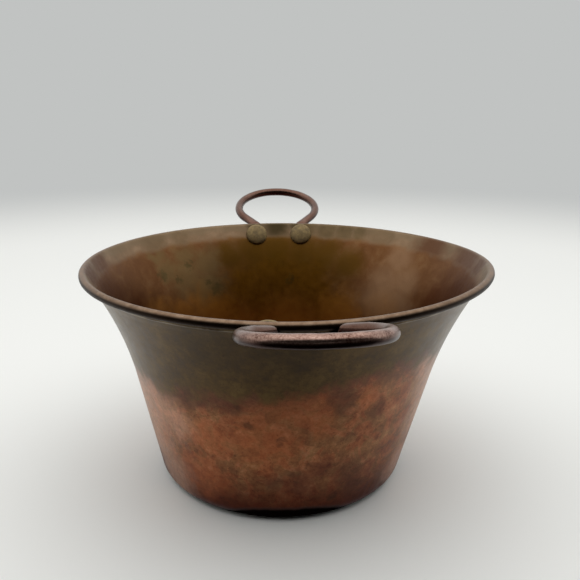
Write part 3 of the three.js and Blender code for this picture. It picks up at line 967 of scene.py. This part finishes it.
def copperRivet():
    material, tree, shader = newMaterial("hammeredCopperRivet")
    place = addNode(tree, "ShaderNodeTexCoord").outputs["Object"]
    size, detail, roughness = rivetSkin["grain"]
    grain = addNode(tree, "ShaderNodeTexNoise", {
        "Vector": place, "Scale": 1 / (size * mm), "Detail": detail, "Roughness": roughness,
    }).outputs["Fac"]
    colour = addNode(tree, "ShaderNodeValToRGB", {0: grain}, rivetSkin["colours"]).outputs[0]
    finishMetal(tree, shader, rivetSkin, colour, grain)
    return material


# Bare iron wire, drawn: dark with a little rust
wireSkin = {
    "rust": (3.0, 5.0),  # millimetres across, detail
    "colours": [(0.35, "#2b2826"), (0.6, "#47403a"), (0.75, "#5d4331")],
    "metal": 0.9,
    "roughness": 0.6,
}


def ironWire():
    material, tree, shader = newMaterial("drawnIronWire")
    place = addNode(tree, "ShaderNodeTexCoord").outputs["Object"]
    size, detail = wireSkin["rust"]
    rust = addNode(tree, "ShaderNodeTexNoise", {"Vector": place, "Scale": 1 / (size * mm), "Detail": detail})
    colour = addNode(tree, "ShaderNodeValToRGB", {0: rust.outputs["Fac"]}, wireSkin["colours"]).outputs[0]
    finishMetal(tree, shader, wireSkin, colour)
    return material


sheetCopper = copperSheet()
rodCopper = copperRod()
rivetCopper = copperRivet()
wireIron = ironWire()
print("materials made")

# Rivets: domed head inside the pan, shank, peened tail outside, as heights over the lip's outer face
rivet = {
    "spacing": 39.0,
    "drop": 8.7,
    "shankDiameter": 4.8,
    "head": (18.2, 4.0),  # diameter, height
    "oddHeads": {("front", "right"): (16.4, 2.4)},  # hidden by the rim
    "tailDiameter": 7.0,
    "tailHeight": 1.7,
    "clearance": 0.3,
    "turnSteps": 56,
    "headSteps": 22,
    "tailSteps": 10,
    "stemStep": 1.0,
    "boreReach": (-4.0, 12.0),  # well past the sheet and the pad
    "boreSides": 40,
    "dentDepth": 0.7,
    "dentSize": 8.0,
    "seed": 30,
}
# Handles: round rod bent to an omega, its feet forged to pads that the rivets hold
handle = {
    "rodRadius": 3.5,
    "loopRadius": 35.3,
    "neckSpacing": 41.0,
    "leg": math.radians(35),  # straight legs close in on the rim, off straight out
    "neckGap": 1.0,
    "neckDrop": 2.0,
    "rises": {"front": math.radians(14.6), "rear": math.radians(17)},
    "turns": {"front": math.pi + math.radians(0.66), "rear": math.radians(-0.66)},  # round the pan
    "padWidth": 14.0,
    "padHeight": 9.6,
    "padThickness": 3.0,
    "padLift": 0.7,
    "bendStops": [math.radians(turn) for turn in (5, 42, 78)],  # round the bead, from straight off the lip
    "forgeTaper": 2.5,  # power by which the forged section draws down to the rod
    "footInset": (0.3, 0.6),  # the foot's depth and breadth stay inside the pad's
    "rodSides": 32,
    "loopSteps": 44,
    "legSteps": 8,
    "padSides": 48,
    "voxel": 0.42,
    "softenings": 6,
    "dentDepth": 0.3,
    "dentSize": 9.0,
    "seed": 20,
}
rivetPlace = onLip(rivet["drop"])
rivetTurn = math.asin(rivet["spacing"] / 2 / rivetPlace.x)


# seat of a rivet: X along the rim, Y up the lip, Z straight out, origin on the lip's outer face
def rivetSeat(side, turn):
    aim = math.pi / 2 - side * rivetTurn + turn
    flat = Vector((math.cos(aim), math.sin(aim), 0))
    up = flat * lipUp.x + Vector((0, 0, lipUp.y))
    out = flat * lipOut.x + Vector((0, 0, lipOut.y))
    seat = Matrix((up.cross(out), up, out)).transposed().to_4x4()
    seat.translation = flat * rivetPlace.x + Vector((0, 0, rivetPlace.y))
    return seat


# the seat as an empty that a tree can read, in metres
def seatMarker(name, seat):
    marker = bpy.data.objects.new(name, None)
    scene.collection.objects.link(marker)
    placed = seat.copy()
    placed.translation = seat.translation * mm
    marker.matrix_world = placed
    return marker


# quarter of an ellipse, from its edge to its crown
def domePoints(diameter, height, steps):
    turns = [math.pi / 2 * i / steps for i in range(steps + 1)]
    return [Vector((diameter / 2 * math.cos(t), height * math.sin(t))) for t in turns]


def rivetSection(name, headDiameter, headHeight):
    bowed = rivetPlace.x - math.sqrt(rivetPlace.x ** 2 - (headDiameter / 2) ** 2)
    headSeat = -pan["sheet"] - rivet["clearance"] - bowed
    tailSeat = rivet["clearance"] * 2 + handle["padThickness"]
    head = domePoints(headDiameter, headHeight, rivet["headSteps"])
    head = [Vector((p.x, headSeat - p.y)) for p in head]
    shank = rivet["shankDiameter"] / 2
    stem = linePoints(Vector((shank, headSeat)), Vector((shank, tailSeat)), rivet["stemStep"])
    tail = domePoints(rivet["tailDiameter"], rivet["tailHeight"], rivet["tailSteps"])
    tail = [Vector((p.x, tailSeat + p.y)) for p in tail]
    points = head[::-1] + stem + tail
    return sectionMesh(name, points, [(0.0, 0.0, 0.0)] * len(points))


# half of a forged size, along the foot and the leg from the pad (0) to the round rod (1)
def forged(padHalf, share):
    return blend(padHalf, handle["rodRadius"], min(share, 1.0) ** handle["forgeTaper"])


# half of the rod's centreline, drawn on +Y: its foot from the pad up, then the leg and the loop
def rodHalf(rise):
    neckX = handle["neckSpacing"] / 2
    neckReach = pan["rimRadius"] + handle["neckGap"] + handle["rodRadius"]
    middle = Vector((0, math.sqrt(neckReach ** 2 - neckX ** 2), pan["rimHeight"] - handle["neckDrop"]))
    neck = middle + Vector((neckX, 0, 0))
    sine, cosine = math.sin(handle["leg"]), math.cos(handle["leg"])
    legLength = (handle["loopRadius"] * cosine - neckX) / sine
    outward = Vector((0, math.cos(rise), math.sin(rise)))
    across = Vector((1, 0, 0))
    centre = middle + outward * (legLength * cosine + handle["loopRadius"] * sine)
    loopStart = math.pi / 2 - handle["leg"]
    steps = handle["loopSteps"]
    turns = [blend(loopStart, math.pi, i / steps) for i in range(steps + 1)]
    loop = [centre + (across * math.sin(t) - outward * math.cos(t)) * handle["loopRadius"] for t in turns]
    seat = rivetSeat(1, 0)
    neckAside = (seat.inverted() @ neck).x
    foot = [Vector((0, handle["padLift"], rivet["clearance"] + handle["padThickness"] / 2))]
    spans = len(handle["bendStops"]) + 1
    for i, turn in enumerate(reversed(handle["bendStops"]), 1):
        bend = pan["beadRadius"] + handle["neckGap"] + forged(handle["padThickness"] / 2, i / (spans + 1))
        lift = pan["beadRadius"] - pan["sheet"] + bend * math.cos(turn)
        foot.append(Vector((neckAside * i / spans, rivet["drop"] - bend * math.sin(turn), lift)))
    leg = [neck.lerp(loop[0], i / handle["legSteps"]) for i in range(handle["legSteps"])]
    return [seat @ point for point in foot], leg, loop


# a smooth line through points, several steps to a span
def smoothLine(points, steps):
    line = []
    for i in range(len(points) - 1):
        a, b, c, d = (points[max(0, min(k, len(points) - 1))] for k in range(i - 1, i + 3))
        for k in range(steps):
            t = k / steps
            line.append(0.5 * (
                2 * b + (c - a) * t + (2 * a - 5 * b + 4 * c - d) * t * t + (3 * b - a - 3 * c + d) * t ** 3
            ))
    return line + [points[-1]]


# the rod's path as a chain of edges, which carries its thickness and how far its feet are forged out
def rodPath(name, rise, turn):
    foot, leg, loop = rodHalf(rise)
    steps = len(leg)
    line = smoothLine(foot + leg[:2], steps)[:len(foot) * steps] + leg + loop
    shares = [i / steps / (len(foot) + 1) for i in range(len(line))]
    thinner, narrower = handle["footInset"]
    depths = [forged(handle["padThickness"] / 2 - thinner, share) for share in shares]
    breadths = [forged(handle["padWidth"] / 2 - narrower, share) for share in shares]
    across = rivetSeat(1, 0).col[0].to_3d()
    half = list(zip(line, depths, breadths, [across] * len(line)))
    flip = Matrix.Diagonal((-1, 1, 1))
    whole = half + [(flip @ p, d, b, flip @ a) for p, d, b, a in reversed(half[:-1])]
    spin = Matrix.Rotation(turn, 3, "Z")
    mesh = bpy.data.meshes.new(name)
    edges = [(i, i + 1) for i in range(len(whole) - 1)]
    mesh.from_pydata([spin @ p * mm for p, d, b, a in whole], edges, [])
    thickness = mesh.attributes.new("rodRadius", "FLOAT", "POINT")
    spread = mesh.attributes.new("spread", "FLOAT", "POINT")
    sideways = mesh.attributes.new("across", "FLOAT_VECTOR", "POINT")
    for i, (p, d, b, a) in enumerate(whole):
        thickness.data[i].value = d * mm
        spread.data[i].value = b / d - 1
        sideways.data[i].vector = spin @ a
    path = bpy.data.objects.new(name, mesh)
    scene.collection.objects.link(path)
    return path


# bores for the shanks with wider seats for their tails, out of true as the pan is
def boreCutter(name, seats):
    bore = rivet["shankDiameter"] / 2 + rivet["clearance"]
    spot = rivet["tailDiameter"] / 2 + rivet["clearance"]
    padTop = rivet["clearance"] + handle["padThickness"]
    low, high = rivet["boreReach"]
    profile = [(bore, low), (bore, padTop), (spot, padTop), (spot, high)]
    turns = [2 * math.pi * k / rivet["boreSides"] for k in range(rivet["boreSides"])]
    mesh = bmesh.new()
    for seat in seats:
        rings = []
        for radius, height in profile:
            places = [seat @ Vector((radius * math.cos(t), radius * math.sin(t), height)) for t in turns]
            rings.append([mesh.verts.new(place) for place in places])
        for a, b in zip(rings, rings[1:]):
            for k in range(len(turns)):
                n = (k + 1) % len(turns)
                mesh.faces.new((a[k], a[n], b[n], b[k]))
        mesh.faces.new(rings[0][::-1])
        mesh.faces.new(rings[-1])
    data = bpy.data.meshes.new(name)
    mesh.to_mesh(data)
    mesh.free()
    data.transform(Matrix.Diagonal((mm, mm, mm, 1)))
    cutter = bpy.data.objects.new(name, data)
    scene.collection.objects.link(cutter)
    addTree(cutter, finishWork, {"Dent Depth": 0.0, "Dent Size": 1.0, "Material": rodCopper, **trueValues})
    return cutter


def cutWith(piece, cutter):
    cut = piece.modifiers.new("bores", "BOOLEAN")
    cut.operation = "DIFFERENCE"
    cut.solver = "MANIFOLD"
    cut.object = cutter


sheetWork = sheetTree()
rivetWork = rivetTree()
rodWork = rodTree()
finishWork = finishTree()
helpers = []  # removed once every piece is a plain mesh

trueValues = {
    "Uneven Depth": pan["unevenDepth"] * mm, "Uneven Size": pan["unevenSize"] * mm,
    "Uneven Seed": float(pan["seed"]), "Lean Slope": pan["leanSlope"],
    "High Side": Vector((math.sin(pan["highSide"]), -math.cos(pan["highSide"]), 0)),
    "High Lift": pan["highLift"] * mm, "Rim Height": pan["rimHeight"] * mm,
}


# values of the handwork on one piece
def handValues(sizes, seed, material):
    return {
        "Dent Depth": sizes["dentDepth"] * mm, "Dent Size": sizes["dentSize"] * mm,
        "Seed": float(seed), "Material": material, **trueValues,
    }


seats = {(name, side): rivetSeat(side, turn) for name, turn in handle["turns"].items() for side in (-1, 1)}
cutters = {
    name: boreCutter(name + "Bores", [seats[name, -1], seats[name, 1]]) for name in handle["turns"]
}
helpers += cutters.values()

panPiece = emptyPiece("panBody")
section = panSection()
helpers.append(section)
addTree(panPiece, sheetWork, {
    "Section": section, "Turn Steps": pan["turnSteps"], **handValues(pan, pan["seed"], sheetCopper),
})
for cutter in cutters.values():
    cutWith(panPiece, cutter)
bakeMesh(panPiece, sheetCopper)
print("pan body:", len(panPiece.data.polygons), "faces")

wirePiece = emptyPiece("rimWire")
wirePoints = arcPoints(beadCentre, pan["wireRadius"], 0, -2 * math.pi, pan["wireSteps"])
section = sectionMesh("wireSection", wirePoints, [(0.0, 0.0, 0.0)] * len(wirePoints))
helpers.append(section)
addTree(wirePiece, sheetWork, {
    "Section": section, "Turn Steps": pan["turnSteps"], **handValues(pan, pan["seed"], wireIron),
    "Dent Depth": 0.0,  # no hammer reaches it
})
bakeMesh(wirePiece, wireIron)
print("rim wire:", len(wirePiece.data.polygons), "faces")

# a rod swept, fused to its pads, softened, hammered and bored
def forgeHandle(name, turn, markers, seed):
    path = rodPath(name + "Path", handle["rises"][name], turn)
    helpers.append(path)
    piece = emptyPiece(name + "Handle")
    padMiddle = rivet["clearance"] + handle["padThickness"] / 2
    addTree(piece, rodWork, {
        "Path": path, "Rod Sides": handle["rodSides"],
        "Pad Size": Vector((handle["padWidth"], handle["padHeight"], handle["padThickness"])) * mm,
        "Pad Shift": Vector((0, handle["padLift"], padMiddle)) * mm,
        "Seat A": markers[-1], "Seat B": markers[1], "Material": rodCopper,
    })
    fuse = piece.modifiers.new("fuse", "REMESH")
    fuse.mode = "VOXEL"
    fuse.voxel_size = handle["voxel"] * mm
    soften = piece.modifiers.new("soften", "SMOOTH")
    soften.iterations = handle["softenings"]
    addTree(piece, finishWork, handValues(handle, seed, rodCopper))
    cutWith(piece, cutters[name])
    return bakeMesh(piece, rodCopper)


def setRivet(name, hand, marker, seed):
    label = name + hand.title()
    piece = emptyPiece(label + "Rivet")
    head = rivet["oddHeads"].get((name, hand), rivet["head"])
    section = rivetSection(label + "Section", *head)
    helpers.append(section)
    addTree(piece, rivetWork, {
        "Section": section, "Turn Steps": rivet["turnSteps"], "Seat": marker,
        **handValues(rivet, seed, rivetCopper),
    })
    return bakeMesh(piece, rivetCopper)


handlePieces = {}
rivetPieces = {}
for number, (name, turn) in enumerate(handle["turns"].items()):
    markers = {side: seatMarker(f"{name}Seat{side}", seats[name, side]) for side in (-1, 1)}
    helpers += markers.values()
    handlePieces[name] = forgeHandle(name, turn, markers, handle["seed"] + number)
    print(name, "handle:", len(handlePieces[name].data.polygons), "faces")
    leftSide = 1 if name == "front" else -1  # left as the camera sees it
    for side, marker in markers.items():
        hand = "left" if side == leftSide else "right"
        rivetPieces[name, hand] = setRivet(name, hand, marker, rivet["seed"] + 2 * number + side)
print("rivets:", len(rivetPieces))

for helper in helpers:
    bpy.data.objects.remove(helper)
dress(panPiece, "pan_body")
dress(wirePiece, "rim_wire")
for name, piece in handlePieces.items():
    dress(piece, name + "_handle")
for (name, hand), piece in rivetPieces.items():
    dress(piece, f"{name}_{hand}_rivet")

# White table under a soft overhead light, fading into a grey room; the photographer's side is dark
stage = {
    "floorReach": 14.0,
    "floorSides": 96,
    "floorColour": "#ecece9",
    "floorRoughness": 0.6,
    "floorShine": 0.2,
    "fadeReach": (0.8, 1.6),  # metres from the pan, from the lit table to the room's own grey
    "worldColour": "#c1c3c2",
    "skyColour": "#fcfdfc",
    "dimColour": "#0c0b0a",
    "dimAim": (0.0, 1.6, 1.0),  # the room is dim where a direction falls below this slope
    "dimRange": (-0.5, 0.15),
    "cardReach": (0.175, 2.0),  # metres in front of the pan, where the table has ended
    "cardLift": 0.001,
    "cardRoughness": 0.9,
    "lampPlace": (-0.02, 0.02, 1.1),
    "lampSize": 2.0,
    "lampPower": 6.3,
}


def stagePlate(name, corners, material):
    data = bpy.data.meshes.new(name)
    data.from_pydata(corners, [], [range(len(corners))])
    data.materials.append(material)
    plate = bpy.data.objects.new(name, data)
    scene.collection.objects.link(plate)
    return plate


def layTable():
    material, tree, shader = newMaterial("whiteTable")
    place = addNode(tree, "ShaderNodeTexCoord").outputs["Object"]
    away = addNode(tree, "ShaderNodeVectorMath", {0: place}, operation="LENGTH").outputs["Value"]
    near, far = stage["fadeReach"]
    share = addNode(tree, "ShaderNodeMapRange", {
        "Value": away, 1: near, 2: far,
    }, interpolation_type="SMOOTHSTEP").outputs[0]
    shader.inputs["Base Color"].default_value = linear(stage["floorColour"])
    shader.inputs["Roughness"].default_value = stage["floorRoughness"]
    shader.inputs["Specular IOR Level"].default_value = stage["floorShine"]
    room = addNode(tree, "ShaderNodeEmission", {"Color": linear(stage["worldColour"])}).outputs[0]
    faded = addNode(tree, "ShaderNodeMixShader", {0: share, 1: shader.outputs[0], 2: room}).outputs[0]
    tree.links.new(faded, tree.nodes["Material Output"].inputs["Surface"])
    turns = [2 * math.pi * i / stage["floorSides"] for i in range(stage["floorSides"])]
    reach = stage["floorReach"]
    stagePlate("floor", [(reach * math.cos(t), reach * math.sin(t), 0) for t in turns], material)


# past the table's front edge the room is dark, which only the metal sees
def layCard():
    material, _, shader = newMaterial("darkCard")
    shader.inputs["Base Color"].default_value = linear(stage["dimColour"])
    shader.inputs["Roughness"].default_value = stage["cardRoughness"]
    near, far = stage["cardReach"]
    lift = stage["cardLift"]
    corners = [(-far, -far, lift), (far, -far, lift), (far, -near, lift), (-far, -near, lift)]
    card = stagePlate("darkCard", corners, material)
    card.visible_camera = False
    card.visible_diffuse = False
    card.visible_shadow = False


def lightRoom():
    world = bpy.data.worlds.new("studio")
    world.use_nodes = True
    tree = world.node_tree
    aim = addNode(tree, "ShaderNodeTexCoord").outputs["Generated"]
    slope = addNode(
        tree, "ShaderNodeVectorMath", {0: aim, 1: stage["dimAim"]}, operation="DOT_PRODUCT"
    ).outputs["Value"]
    low, high = stage["dimRange"]
    lit = addNode(tree, "ShaderNodeMapRange", {
        "Value": slope, 1: low, 2: high,
    }, interpolation_type="SMOOTHSTEP").outputs[0]
    seen = addNode(tree, "ShaderNodeLightPath").outputs["Is Camera Ray"]
    light = addNode(tree, "ShaderNodeMix", {
        0: lit, 6: linear(stage["dimColour"]), 7: linear(stage["skyColour"]),
    }, data_type="RGBA").outputs[2]
    colour = addNode(tree, "ShaderNodeMix", {
        0: seen, 6: light, 7: linear(stage["worldColour"]),
    }, data_type="RGBA").outputs[2]
    tree.links.new(colour, tree.nodes["Background"].inputs["Color"])
    scene.world = world
    lamp = bpy.data.lights.new("softbox", "AREA")
    lamp.shape = "DISK"
    lamp.size = stage["lampSize"]
    lamp.energy = stage["lampPower"]
    box = bpy.data.objects.new("softbox", lamp)
    box.location = stage["lampPlace"]
    scene.collection.objects.link(box)


layTable()
layCard()
lightRoom()
print("stage set")
